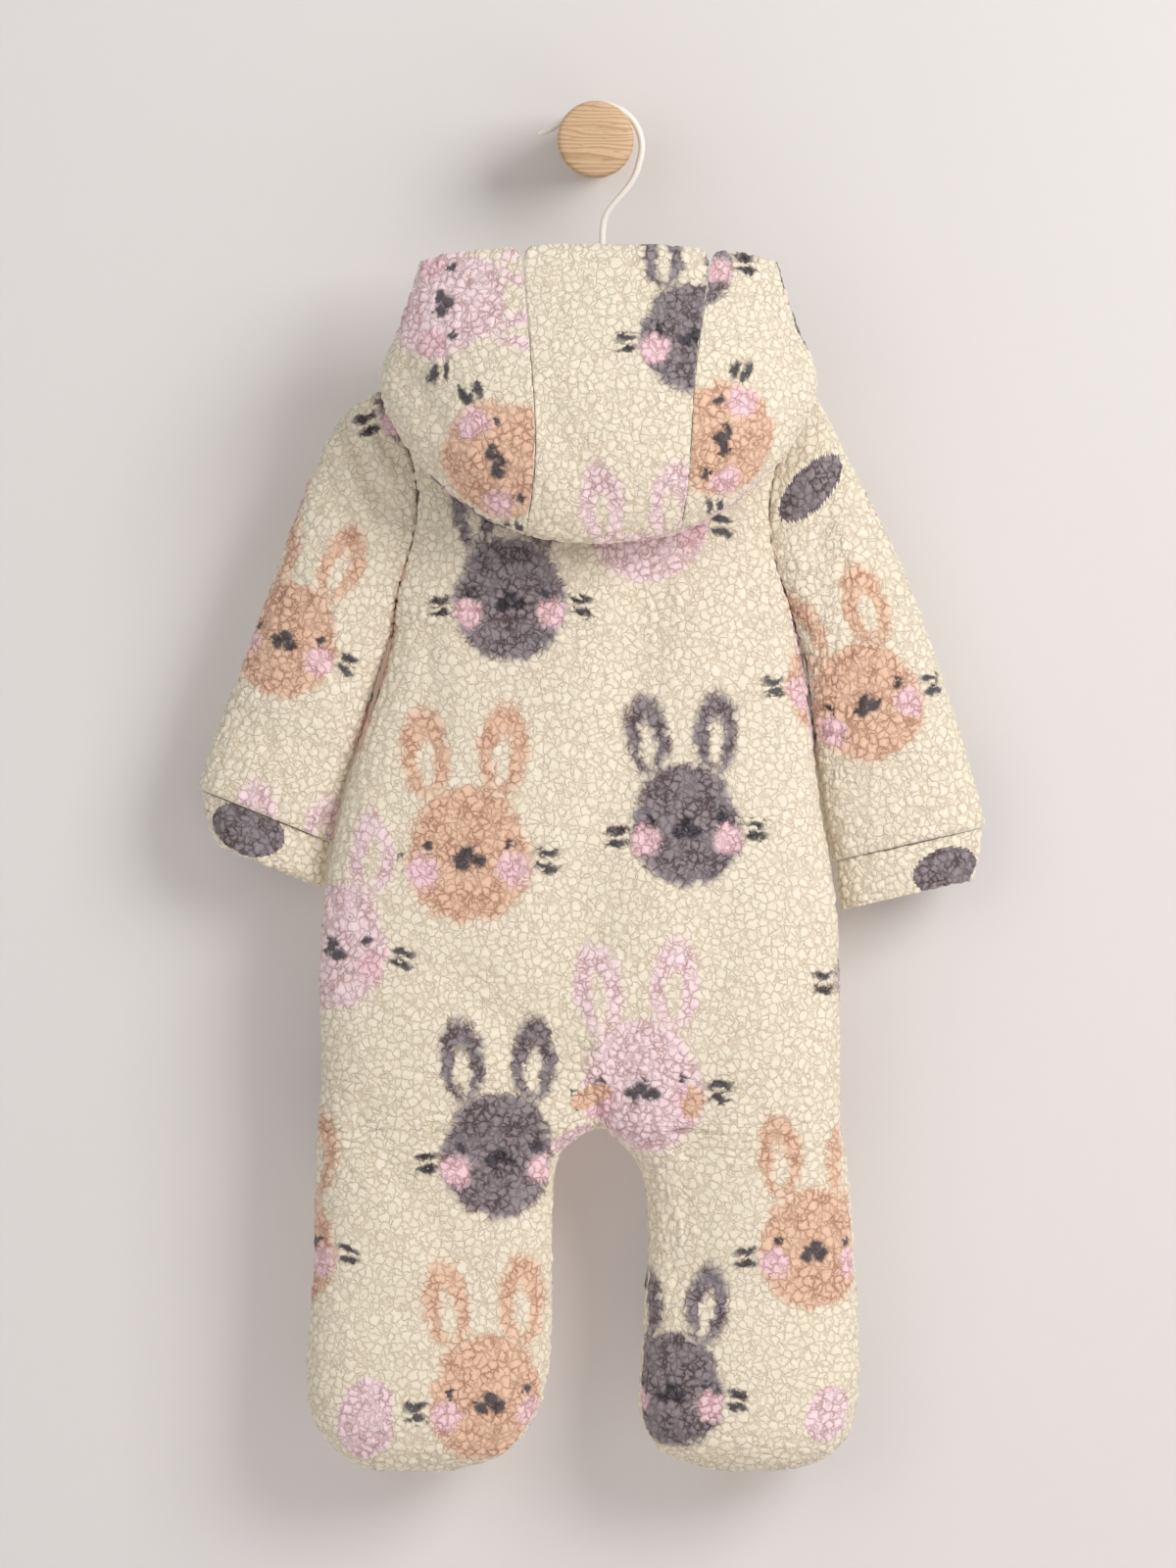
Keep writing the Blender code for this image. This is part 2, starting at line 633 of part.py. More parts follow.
def hood_panel(name, starts, ends, columns, rows, material):
    """A piece of the hood between two seams, given as functions of the level."""
    places, net = hood_net()
    step = 0.045
    levels = np.linspace(0, 1, rows + 1)
    cloth = Cloth()
    grid = {}
    for i, level in enumerate(levels):
        for j in range(columns + 1):
            share = j / columns
            place = starts(level) + (ends(level) - starts(level)) * share
            point = hood_point(places, net, place, level)
            lo, hi = max(-1.0, place - step), min(1.0, place + step)
            up, dn = min(1.0, level + step), max(0.0, level - step)
            across = hood_point(places, net, hi, level) - hood_point(places, net, lo, level)
            along = hood_point(places, net, place, up) - hood_point(places, net, place, dn)
            normal = np.cross(across, along)
            if i == 0:
                normal = neck_out(point[0], point[1])
            normal = normal / np.linalg.norm(normal)
            across = across / np.linalg.norm(across)
            if j == 0:
                point = point + across * SEAM / 2
            if j == columns:
                point = point - across * SEAM / 2
            # The collar part is pressed thinner where it turns tightly round the neck.
            pressed = 0.5 * float(rounding((abs(place) - 0.5) / 0.2))
            outside = point + normal * CLOTH / 2
            grid[i, j] = cloth.add(outside, (1, 1, 1), normal, 1.0 - pressed)
    for i in range(rows):
        for j in range(columns):
            cloth.quad(grid[i, j], grid[i, j + 1], grid[i + 1, j + 1], grid[i + 1, j])
    return cloth.solid(name, material)


def tube_faces(rings, count):
    """Faces between rings of points in a row, with a cap at each end."""
    faces = []
    for i in range(rings - 1):
        for k in range(count):
            n = (k + 1) % count
            faces.append((i * count + k, i * count + n, (i + 1) * count + n, (i + 1) * count + k))
    faces.append(tuple(reversed(range(count))))
    faces.append(tuple((rings - 1) * count + k for k in range(count)))
    return faces


def lathe(name, profile, material, count=32):
    """Turn a profile of (y, radius) pairs round the y axis."""
    points = []
    for y, radius in profile:
        for k in range(count):
            a = 2 * math.pi * k / count
            points.append((radius * math.cos(a), y, radius * math.sin(a)))
    return make(name, points, tube_faces(len(profile), count), material)


def rod(name, path, radius, material, count):
    """A round bar along a path in the plane of the hanger, with rounded ends."""
    path = np.array(path, float)
    along = np.gradient(path, axis=0)
    along /= np.linalg.norm(along, axis=1)[:, None]
    points = []
    stations = [(path[0] - along[0] * radius * 0.9, along[0], 0.35)]
    stations += [(path[0] - along[0] * radius * 0.5, along[0], 0.8)]
    stations += [(p, a, 1.0) for p, a in zip(path, along)]
    stations += [(path[-1] + along[-1] * radius * 0.5, along[-1], 0.8)]
    stations += [(path[-1] + along[-1] * radius * 0.9, along[-1], 0.35)]
    for place, way, scale in stations:
        across = np.cross(way, (0, 1, 0))
        for k in range(count):
            a = 2 * math.pi * k / count
            spread = across * math.cos(a) + np.array((0, 1, 0)) * math.sin(a)
            points.append(place + spread * radius * scale)
    return make(name, points, tube_faces(len(stations), count), material)


def prism(name, outline, start, end, axis, material, at=(0.0, 0.0, 0.0)):
    """A flat outline pushed along one axis. The outline gives the two other axes in order."""
    others = [k for k in range(3) if k != axis]
    points = []
    for level in (start, end):
        for a, b in outline:
            point = [0.0, 0.0, 0.0]
            point[axis], point[others[0]], point[others[1]] = level, a, b
            points.append(point)
    return make(name, points, tube_faces(2, len(outline)), material, at)


def turn_outward(obj):
    """Make every face look outward."""
    shape = bmesh.new()
    shape.from_mesh(obj.data)
    bmesh.ops.recalc_face_normals(shape, faces=shape.faces)
    if shape.calc_volume(signed=True) < 0:
        bmesh.ops.reverse_faces(shape, faces=shape.faces)
    shape.to_mesh(obj.data)
    shape.free()


def join_solids(base, helpers, operation="UNION"):
    """Join solids into one body, or cut them out of it."""
    for helper in helpers:
        helper.hide_render = True
        modifier = base.modifiers.new(helper.name, "BOOLEAN")
        modifier.operation = operation
        modifier.solver = "EXACT"
        modifier.object = helper


def ring_outline(cy, cz, radius, count=16):
    turns = [2 * math.pi * k / count for k in range(count)]
    return [(cy + radius * math.cos(a), cz + radius * math.sin(a)) for a in turns]


def box_outline(y0, y1, z0, z1, cut):
    return [
        (y0 + cut, z0), (y1 - cut, z0), (y1, z0 + cut), (y1, z1 - cut),
        (y1 - cut, z1), (y0 + cut, z1), (y0, z1 - cut), (y0, z0 + cut),
    ]


def clear_scene():
    for obj in list(bpy.data.objects):
        bpy.data.objects.remove(obj, do_unlink=True)


def build_cloth(fleece):
    """The fleece pieces: body, sleeves, cuffs and hood."""
    rings = {side: armhole_ring(side) for side in (-1, 1)}

    # Back: body and the backs of both legs in one piece, open between the legs.
    back = Cloth()
    middle = {}
    body_half(back, -1, -1, rings, middle)
    body_half(back, 1, -1, rings, middle)
    back.solid("back", fleece)

    # Fronts: one on each side of the zip, each with its leg.
    for side, name in ((-1, "front_left"), (1, "front_right")):
        front = Cloth()
        body_half(front, side, 1, rings)
        front.solid(name, fleece)

    sleeve("sleeve_left", SLEEVE_LEFT, -1, LEFT_SLEEVE_FOLDS, *rings[-1], fleece)
    sleeve("sleeve_right", SLEEVE_RIGHT, 1, RIGHT_SLEEVE_FOLDS, *rings[1], fleece)
    cuff("cuff_left", CUFF_LEFT, -1, fleece)
    cuff("cuff_right", CUFF_RIGHT, 1, fleece)

    def left(level):
        return float(follow(*column(HOOD_SEAMS, 1), level))

    def right(level):
        return float(follow(*column(HOOD_SEAMS, 2), level))

    hood_panel("hood_centre", left, right, 8, 18, fleece)
    hood_panel("hood_side_left", lambda level: -1.0, left, 14, 18, fleece)
    hood_panel("hood_side_right", right, lambda level: 1.0, 14, 18, fleece)


def build_hanger(white, wood):
    """The wire hook from its tip over the peg to its foot, the arms below it, and the peg."""
    turns = np.radians(np.linspace(*HOOK_TURN, 18))
    top = [(HOOK_CENTRE[0] + HOOK_R * math.cos(a), HOOK_CENTRE[1] + HOOK_R * math.sin(a))
           for a in turns]
    hook = [(x, HANG_Y, z) for x, z in (*HOOK_TIP, *top, *HOOK_NECK)]
    rod("hanger_hook", hook, WIRE_R, white, count=8)
    arms = [(x, HANG_Y - behind, z) for x, behind, z in ARM_PATH]
    rod("hanger_arms", arms, ARM_R, white, count=10)
    lathe("wall_peg", PEG_PROFILE, wood)


def build_zip(tape, metal):
    """A closed coil zip, its slider, and a pull tab that swings on the slider's pin."""
    downs = np.linspace(ZIP_TOP, ZIP_END, 30)
    points = []
    for down in downs:
        front = front_line(down)
        points += [(MIDDLE_X + x, front + y, -down) for x, y in ZIP_SECTION]
    make("zip", points, tube_faces(len(downs), len(ZIP_SECTION)), tape)

    # The slider sits near the top of the zip. Two lugs on it hold the pin of the pull tab.
    half_width, half_height = SLIDER_HALF
    base = front_line(SLIDER_DOWN) + SLIDER_LIFT
    pin_y, pin_z = base + SLIDER_THICK + PIN_LIFT, -SLIDER_DOWN
    face = box_outline(MIDDLE_X - half_width, MIDDLE_X + half_width,
                       pin_z - half_height, pin_z + half_height, 1.4)
    slider = prism("zip_slider", face, base, base + SLIDER_THICK, 1, metal)
    lug = box_outline(base + 1.0, pin_y + 1.8, pin_z - 1.8, pin_z + 1.8, 0.7)
    lugs = [
        prism(f"lug_{name}", lug, MIDDLE_X + at - 0.6, MIDDLE_X + at + 0.6, 0, metal)
        for name, at in (("a", -PIN_HALF), ("b", PIN_HALF))
    ]
    pin = prism("pin", ring_outline(pin_y, pin_z, PIN_R, 12), MIDDLE_X - PIN_HALF,
                MIDDLE_X + PIN_HALF, 0, metal)
    join_solids(slider, [*lugs, pin])

    knuckle = prism("zip_pull", ring_outline(pin_y, pin_z, KNUCKLE_R), MIDDLE_X - 2.4,
                    MIDDLE_X + 2.4, 0, metal, (MIDDLE_X, pin_y, pin_z))
    outline = [(MIDDLE_X - half, pin_z - below) for half, below in PULL_OUTLINE]
    outline += [(MIDDLE_X + half, pin_z - below) for half, below in reversed(PULL_OUTLINE)]
    blade = prism("blade", outline, pin_y - PULL_THICK / 2, pin_y + PULL_THICK / 2, 1, metal)
    bore = prism("bore", ring_outline(pin_y, pin_z, BORE_R, 12), MIDDLE_X - 4.0,
                 MIDDLE_X + 4.0, 0, metal)
    join_solids(knuckle, [blade])
    join_solids(knuckle, [bore], "DIFFERENCE")


def front_line(down):
    """y of the cloth's outside beside the zip."""
    levels, ys = [], []
    for row in range(APEX_ROW):
        point = body_point(row, 1.0, -1, 1)
        levels.append(-point[2])
        ys.append(point[1] + SEAM / 2)
    return float(follow(levels, ys, down))


def main():
    clear_scene()
    fleece = paint("fleece", (0.86, 0.80, 0.66), 0.95)
    white = paint("white_paint", (0.85, 0.84, 0.80), 0.45)
    wood = paint("peg_wood", (0.60, 0.40, 0.24), 0.55)
    tape = paint("zip_tape", (0.80, 0.75, 0.64), 0.7)
    metal = paint("zip_metal", (0.72, 0.70, 0.66), 0.35, 0.9)
    build_cloth(fleece)
    build_hanger(white, wood)
    build_zip(tape, metal)


main()
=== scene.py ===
# %% [markdown]
# # A hooded fleece all-in-one on its hanger
#
# The object is a baby's all-in-one of thick curly fleece. It hangs by a wire hook from a
# round wooden peg, with its back to us. The solid model gives every panel as a plain shell.
# This lesson turns each shell into soft, curly, printed cloth, and finishes the hanger, the
# peg, the zip and the studio round them. We start by loading the solid model as a fixed frame.

# %% Load the frame
import json
import math

import bmesh
import bpy
import numpy as np
from mathutils import Matrix, Vector

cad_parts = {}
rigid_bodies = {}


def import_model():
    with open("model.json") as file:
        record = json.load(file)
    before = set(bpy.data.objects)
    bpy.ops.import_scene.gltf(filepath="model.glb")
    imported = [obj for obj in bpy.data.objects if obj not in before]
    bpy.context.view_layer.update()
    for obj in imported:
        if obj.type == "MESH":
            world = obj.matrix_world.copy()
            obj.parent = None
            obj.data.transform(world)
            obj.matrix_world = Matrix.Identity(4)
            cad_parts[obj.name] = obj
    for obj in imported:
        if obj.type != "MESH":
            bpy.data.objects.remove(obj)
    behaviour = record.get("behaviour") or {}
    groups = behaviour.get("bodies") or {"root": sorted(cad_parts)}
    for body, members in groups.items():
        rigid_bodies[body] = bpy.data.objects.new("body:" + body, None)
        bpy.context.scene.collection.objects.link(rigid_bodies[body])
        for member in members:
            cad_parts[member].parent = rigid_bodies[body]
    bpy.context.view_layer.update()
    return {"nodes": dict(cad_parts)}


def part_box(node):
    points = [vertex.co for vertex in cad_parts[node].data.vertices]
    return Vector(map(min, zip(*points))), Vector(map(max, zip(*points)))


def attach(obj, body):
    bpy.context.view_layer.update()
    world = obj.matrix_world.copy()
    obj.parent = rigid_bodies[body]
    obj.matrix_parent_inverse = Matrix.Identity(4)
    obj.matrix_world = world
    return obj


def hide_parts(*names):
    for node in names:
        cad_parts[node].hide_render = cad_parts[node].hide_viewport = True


for thing in list(bpy.data.objects):
    bpy.data.objects.remove(thing)
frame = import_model()
MM = 0.001
print("nodes:", ", ".join(sorted(frame["nodes"])))

# %% [markdown]
# ## Camera
#
# The photograph looks straight at the wall with almost no perspective, so a long lens far
# away gives the same view. The frame is 0.84 m tall in the plane of the garment.

# %% Camera
FRAME_TALL = 0.84
CAMERA_AWAY = 6.0
SENSOR = 36  # mm, as Blender counts it
GARMENT_Y = -0.05
VIEW_X, VIEW_Z = -0.0042, -0.345

camera = bpy.data.objects.new("camera", bpy.data.cameras.new("camera"))
bpy.context.scene.collection.objects.link(camera)
camera.location = (VIEW_X, GARMENT_Y - CAMERA_AWAY, VIEW_Z)
camera.rotation_euler = (math.pi / 2, 0, 0)
camera.data.sensor_width = SENSOR
camera.data.lens = SENSOR * CAMERA_AWAY / FRAME_TALL
camera.data.clip_end = 100
bpy.context.scene.camera = camera
print("lens", round(camera.data.lens), "mm")

# %% [markdown]
# ## A small language for node trees
#
# Materials, and the modifier that raises the pile, are node trees. Wiring them by hand is
# long, so one class wraps a socket: adding or multiplying two wires makes a Math node. Any
# other node comes from one method. The same recipe can then run in a material and in a mesh.

# %% The wire class
class Wire:
    """One output of a node, which can be used in sums."""

    def __init__(self, tree, socket):
        self.tree, self.socket = tree, socket

    def node(self, kind, settings=None, out=0, **sockets):
        """Add a node: settings first, then its sockets by name or number (as s0, s1)."""
        made = self.tree.nodes.new(kind)
        for name, value in (settings or {}).items():
            setattr(made, name, value)
        for name, value in sockets.items():
            number = name[0] == "s" and name[1:].isdigit()
            entry = made.inputs[int(name[1:]) if number else name.replace("_", " ")]
            if isinstance(value, Wire):
                self.tree.links.new(value.socket, entry)
            else:
                entry.default_value = value
        return Wire(self.tree, made.outputs[out])

    def sum(self, operation, *values):
        sockets = {f"s{i}": value for i, value in enumerate(values)}
        return self.node("ShaderNodeMath", {"operation": operation}, **sockets)

    def __add__(self, other):
        return self.sum("ADD", self, other)

    def __sub__(self, other):
        return self.sum("SUBTRACT", self, other)

    def __rsub__(self, other):
        return self.sum("SUBTRACT", other, self)

    def __mul__(self, other):
        return self.sum("MULTIPLY", self, other)

    def __truediv__(self, other):
        return self.sum("DIVIDE", self, other)

    def __pow__(self, other):
        return self.sum("POWER", self, other)

    def __mod__(self, other):
        return self.sum("FLOORED_MODULO", self, other)

    def size(self):
        return self.sum("ABSOLUTE", self)

    def at_most(self, other):
        return self.sum("MINIMUM", self, other)

    def at_least(self, other):
        return self.sum("MAXIMUM", self, other)

    def ramp(self, low, high):
        """0 below low, 1 above high, smooth between."""
        return self.node("ShaderNodeMapRange", {"interpolation_type": "SMOOTHSTEP"},
                         s0=self, s1=low, s2=high, s3=0.0, s4=1.0)

    def blend(self, first, second):
        """A colour: first where this wire is 0, second where it is 1."""
        made = self.tree.nodes.new("ShaderNodeMix")
        made.data_type = "RGBA"
        for entry, value in ((made.inputs[0], self), (made.inputs[6], first), (made.inputs[7], second)):
            if isinstance(value, Wire):
                self.tree.links.new(value.socket, entry)
            else:
                entry.default_value = value
        return Wire(self.tree, made.outputs[2])

    def vector(self, operation, *values):
        sockets = {f"s{i}": value for i, value in enumerate(values)}
        return self.node("ShaderNodeVectorMath", {"operation": operation}, **sockets)

    def noise(self, scale, detail):
        """A soft random pattern from 0 to 1, at the place that this wire gives."""
        return self.node("ShaderNodeTexNoise", {}, 0, Vector=self, Scale=scale, Detail=detail)


def colour(red, green, blue):
    """A display colour, 0 to 255, as the linear colour that a shader wants."""
    linear = [c / 255 / 12.92 if c < 11 else ((c / 255 + 0.055) / 1.055) ** 2.4
              for c in (red, green, blue)]
    return (*linear, 1.0)


def material(name, rough, **constants):
    """A new material: its first wire, which places things, and its shader's sockets."""
    made = bpy.data.materials.new(name)
    made.use_nodes = True
    tree = made.node_tree
    shader = tree.nodes["Principled BSDF"]
    shader.inputs["Roughness"].default_value = rough
    for key, value in constants.items():
        shader.inputs[key.replace("_", " ")].default_value = value
    place = tree.nodes.new("ShaderNodeTexCoord")
    return made, Wire(tree, place.outputs["Object"]), shader.inputs


def plug(wire, entry):
    wire.tree.links.new(wire.socket, entry)


def bump(height, entry, strength, deep):
    """Fine relief in a finish: a height of 0 to 1 stands for that many metres of depth."""
    made = height.node("ShaderNodeBump", {}, 0, Height=height, Strength=strength, Distance=deep)
    plug(made, entry["Normal"])


print("cream is", [round(c, 2) for c in colour(240, 231, 213)[:3]])

# %% [markdown]
# ## The pile
#
# Curly fleece is a knit whose long pile is tumbled until it rolls into small tufts, 4 to 5 mm
# across, with narrow cracks between them. A Voronoi texture gives such cells: its distance to
# the nearest cell wall is 0 in a crack and grows to the middle of a tuft. A noise bends the
# cells first, so no crack is straight. This recipe is used twice, for mesh and for material.

# %% The pile recipe
TUFT = 4.7 * MM
BEND, BEND_SCALE = 2.4 * MM, 0.3 / MM  # moves whole tufts
FRAY, FRAY_SCALE = 0.8 * MM, 1.0 / MM  # roughens their edges
ROUND = 2.2  # how round the top of a tuft is


def shaken(place, scale, reach):
    """The place, moved at random by up to reach."""
    noise = place.node("ShaderNodeTexNoise", {}, 1, Vector=place, Scale=scale, Detail=1.0)
    step = place.vector("SUBTRACT", noise, (0.5, 0.5, 0.5))
    return place.vector("MULTIPLY_ADD", step, (reach * 2,) * 3, place)


def tufts(place, shoulder=0.36):
    """(height of the tuft 0 to 1, distance to the crack, random colour of the tuft)"""
    bent = shaken(shaken(place, BEND_SCALE, BEND), FRAY_SCALE, FRAY)
    wall = place.node("ShaderNodeTexVoronoi", {"feature": "DISTANCE_TO_EDGE"}, 0,
                      Vector=bent, Scale=1 / TUFT)
    cell = place.node("ShaderNodeTexVoronoi", {"feature": "F1"}, 1, Vector=bent, Scale=1 / TUFT)
    height = 1 - (1 - (wall / shoulder).at_most(1.0)) ** ROUND
    return height, wall, cell


print("tuft size", TUFT / MM, "mm")

# %% [markdown]
# ## From a panel's shell to a fine mesh
#
# Each sewn panel comes as a closed shell of large flat triangles. A copy is welded, its
# triangles are joined to quads, and Catmull-Clark subdivision rounds them. The outer side, which
# carries the pile, is then cut once more, so that every tuft gets a few points. The outer side
# is found by walking from face to face and stopping at the sharp rim.

# %% Weld, walk and subdivide
RIM_CREASE = 0.6


def welded(node):
    """A bmesh copy of a solid node, its doubled points merged."""
    sheet = bmesh.new()
    sheet.from_mesh(frame["nodes"][node].data)
    bmesh.ops.remove_doubles(sheet, verts=sheet.verts, dist=1e-6)
    return sheet


def outer_side(sheet, bend):
    """The largest set of faces that are joined without an edge sharper than bend degrees."""
    limit, seen, largest = math.radians(bend), set(), []
    for start in sheet.faces:
        if start in seen:
            continue
        seen.add(start)
        found, edge_of_walk = [start], [start]
        while edge_of_walk:
            face = edge_of_walk.pop()
            for edge in face.edges:
                if len(edge.link_faces) == 2 and edge.calc_face_angle(0) < limit:
                    for other in edge.link_faces:
                        if other not in seen:
                            seen.add(other)
                            found.append(other)
                            edge_of_walk.append(other)
        if sum(f.calc_area() for f in found) > sum(f.calc_area() for f in largest):
            largest = found
    return largest


def as_object(sheet, name):
    mesh = bpy.data.meshes.new(name)
    sheet.to_mesh(mesh)
    sheet.free()
    made = bpy.data.objects.new(name, mesh)
    bpy.context.scene.collection.objects.link(made)
    return made


def applied(made):
    """Replace an object's mesh by what its modifiers make of it."""
    graph = bpy.context.evaluated_depsgraph_get()
    mesh = bpy.data.meshes.new_from_object(made.evaluated_get(graph))
    made.modifiers.clear()
    made.data = mesh
    return made


def rounded(made, levels):
    step = made.modifiers.new("round", "SUBSURF")
    step.levels = step.render_levels = levels
    return applied(made)


def fine_panel(node, bend):
    """The panel as a fine quad mesh. Its face layer "outside" is 1 where the pile is."""
    sheet = welded(node)
    outside = sheet.faces.layers.int.new("outside")
    for face in outer_side(sheet, bend):
        face[outside] = 1
    crease = sheet.edges.layers.float.new("crease_edge")
    rim = [e for e in sheet.edges if len({f[outside] for f in e.link_faces}) == 2]
    bmesh.ops.join_triangles(sheet, faces=sheet.faces, angle_face_threshold=0.7,
                             angle_shape_threshold=0.9, cmp_materials=False)
    for edge in rim:
        if edge.is_valid:
            edge[crease] = RIM_CREASE
    made = rounded(as_object(sheet, node + "_cloth"), 2)
    sheet = bmesh.new()
    sheet.from_mesh(made.data)
    outside = sheet.faces.layers.int["outside"]
    pile_edges = list({e for f in sheet.faces if f[outside] for e in f.edges})
    bmesh.ops.subdivide_edges(sheet, edges=pile_edges, cuts=1, use_grid_fill=True)
    sheet.to_mesh(made.data)
    sheet.free()
    return made


PANELS = {  # the sharpest bend within the outer side, in degrees
    "back": 45, "front_left": 45, "front_right": 45, "sleeve_left": 45, "sleeve_right": 45,
    "cuff_left": 45, "cuff_right": 45, "hood_centre": 70, "hood_side_left": 45,
    "hood_side_right": 45,
}
cloth = {node: fine_panel(node, bend) for node, bend in PANELS.items()}
for node, made in cloth.items():
    print(node, len(made.data.polygons), "faces")

# %% [markdown]
# ## Folds and hem
#
# The thick cloth hangs in a few broad folds, and a row of stitches pulls a narrow groove along
# the hem of the hood. A fold is a line on the chart with a width and a depth. Points near the
# line move in along their normals, by a smooth bell curve across it. One chart unit is
# 0.525 mm, counted right and down from a corner 319 mm left of the peg and 75 mm above it.
# Only the side that faces us is folded.

# %% Press the folds
UNIT = 0.525 * MM
PEG_RIGHT, PEG_DOWN = 608, 142  # the peg's place on the chart


def chart_place(right, down):
    """The x and z of a place on the chart."""
    return (right - PEG_RIGHT) * UNIT, (PEG_DOWN - down) * UNIT


# Panel, from right, down, to right, down, half width in units, depth in mm.
HEM = [
    ("hood_side_left", 428, 292, 545, 300, 3.2, 1.5),
    ("hood_centre", 525, 301, 715, 298, 3.2, 1.5),
    ("hood_side_right", 690, 296, 812, 300, 3.2, 1.5),
]
FOLDS = [
    ("back", 655, 620, 600, 980, 34, 3.0), ("back", 735, 930, 690, 1290, 30, 2.2),
    ("back", 470, 1000, 560, 1090, 22, 2.0), ("back", 430, 640, 440, 760, 20, 2.0),
    ("back", 770, 620, 745, 720, 20, 2.2), ("back", 400, 1330, 520, 1345, 22, 1.4),
    ("back", 700, 1300, 840, 1330, 22, 1.6), ("back", 360, 1130, 470, 1290, 22, 1.8),
    ("sleeve_left", 352, 430, 392, 520, 11, 3.4), ("sleeve_left", 330, 470, 362, 560, 10, 2.8),
    ("sleeve_left", 372, 415, 405, 470, 9, 2.5), ("sleeve_left", 250, 740, 330, 770, 18, 1.8),
    ("sleeve_right", 850, 480, 838, 560, 12, 2.2), ("sleeve_right", 880, 520, 905, 600, 14, 1.8),
    ("sleeve_right", 850, 800, 950, 790, 18, 1.8), ("hood_side_left", 415, 380, 450, 440, 16, 2.5),
    ("hood_side_right", 800, 350, 770, 450, 16, 2.0), ("hood_centre", 560, 420, 600, 500, 20, 1.8),
]


def outside_points(mesh):
    """1 for each point of the outer side or its rim, 0 inside."""
    flags = np.zeros(len(mesh.polygons), np.int32)
    mesh.attributes["outside"].data.foreach_get("value", flags)
    starts, totals = np.zeros(len(flags), np.int32), np.zeros(len(flags), np.int32)
    mesh.polygons.foreach_get("loop_start", starts)
    mesh.polygons.foreach_get("loop_total", totals)
    corners = np.zeros(len(mesh.loops), np.int32)
    mesh.loops.foreach_get("vertex_index", corners)
    points = np.zeros(len(mesh.vertices), np.float32)
    points[corners[np.repeat(flags, totals) > 0]] = 1
    return points


def press_folds(node, mesh):
    """Move the points of a panel in along its folds and its hem."""
    points, normals = np.zeros(len(mesh.vertices) * 3), np.zeros(len(mesh.vertices) * 3)
    mesh.vertices.foreach_get("co", points)
    mesh.vertices.foreach_get("normal", normals)
    points, normals = points.reshape(-1, 3), normals.reshape(-1, 3)
    seen = (outside_points(mesh) > 0) & (normals[:, 1] < 0.1)
    for panel, right, down, to_right, to_down, half, depth in FOLDS + HEM:
        if panel != node:
            continue
        start = np.array(chart_place(right, down))
        end = np.array(chart_place(to_right, to_down))
        line = end - start
        off = points[:, [0, 2]] - start
        along = np.clip(off @ line / (line @ line), 0, 1)
        gap = np.linalg.norm(off - along[:, None] * line, axis=1) / (half * UNIT)
        points -= normals * (seen * depth * MM * np.exp(-gap * gap))[:, None]
    mesh.vertices.foreach_set("co", points.ravel())
    mesh.update()


for node, made in cloth.items():
    press_folds(node, made.data)
print(len(FOLDS), "folds and", len(HEM), "lengths of hem")

# %% [markdown]
# ## The print
#
# Rabbit faces in three inks are printed on the cloth before it is cut, so seams cut through
# them. They are charted: for each panel a list of ink, place, size and turn, in the same
# units as the folds. A face's size is half its width, and a turn is clockwise, in degrees.
# Where a seam or a fold leaves only a plain scrap of a rabbit, the size is a pair, half the
# scrap's width and half its height. Panels that face the wall get rows of their own, half a
# step apart, as the roll of cloth would have them.

# %% The chart of rabbits
INKS = {
    "tan": colour(242, 204, 177), "grey": colour(155, 145, 150), "pink": colour(255, 231, 236),
}
SEEN = {
    "back": [("grey", 520, 615, 57, 0), ("tan", 478, 875, 63, -2), ("grey", 700, 845, 56, -3),
             ("pink", 338, 968, 60, 4), ("pink", 655, 1112, 62, -3), ("grey", 510, 1180, 58, -1),
             ("tan", 500, 1430, 60, -3), ("grey", 684, 1420, 54, 2), ("tan", 830, 1275, 56, 0),
             ("pink", 845, 1440, (24, 30), 20), ("pink", 374, 1447, (30, 44), 10),
             ("pink", 660, 532, 60, 0),
             ("tan", 603, 1117, (22, 11), -25), ("tan", 706, 1123, (11, 17), 0),
             ("pink", 584, 1162, (24, 15), -25),
             ("grey", 914, 996, 60, 0), ("tan", 858, 696, 56, 0), ("tan", 287, 1275, 58, 0)],
    "sleeve_left": [("tan", 290, 654, 54, 17), ("grey", 440, 404, 56, -20),
                    ("pink", 273, 940, 56, 12)],
    "sleeve_right": [("grey", 828, 497, (20, 45), 43), ("tan", 885, 720, 56, -22),
                     ("tan", 790, 905, 56, -15)],
    "cuff_left": [("grey", 252, 846, (40, 26), 20)],
    "cuff_right": [("grey", 967, 888, (36, 24), -15)],
    "hood_side_left": [("pink", 452, 312, 58, 88), ("tan", 508, 475, 60, 73)],
    "hood_centre": [("grey", 708, 350, 55, 0), ("pink", 650, 613, 57, 0)],
    "hood_side_right": [("grey", 692, 268, 55, 0), ("tan", 737, 452, 58, -79)],
    "front_left": [("grey", 321, 1395, (16, 70), 0)],
    "front_right": [("tan", 600, 1120, 50, 0)],
}
PLACE_STEP, ROW_STEP, FIRST_ROW = 225, 205, 300  # the hidden rows, in chart units
HIDDEN_SIZE = 58
SIDE_ROOM, EAR_ROOM = 0.02, 0.04  # how far outside a panel's box a rabbit still reaches it


def hidden_rows(node):
    """Rabbits in staggered rows over a panel's side that faces the wall."""
    low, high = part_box(node)
    rows, inks = [], ["tan", "pink", "grey"]
    for row in range(-1, 8):
        for place in range(-3, 5):
            right = PEG_RIGHT + place * PLACE_STEP + (row % 2) * (PLACE_STEP // 2)
            down = FIRST_ROW + row * ROW_STEP
            x, z = chart_place(right, down)
            beside = low.x - SIDE_ROOM < x < high.x + SIDE_ROOM
            if beside and low.z - EAR_ROOM < z < high.z + SIDE_ROOM:
                rows.append((inks[(row + 2 * place) % 3], right, down, HIDDEN_SIZE, 0))
    return rows


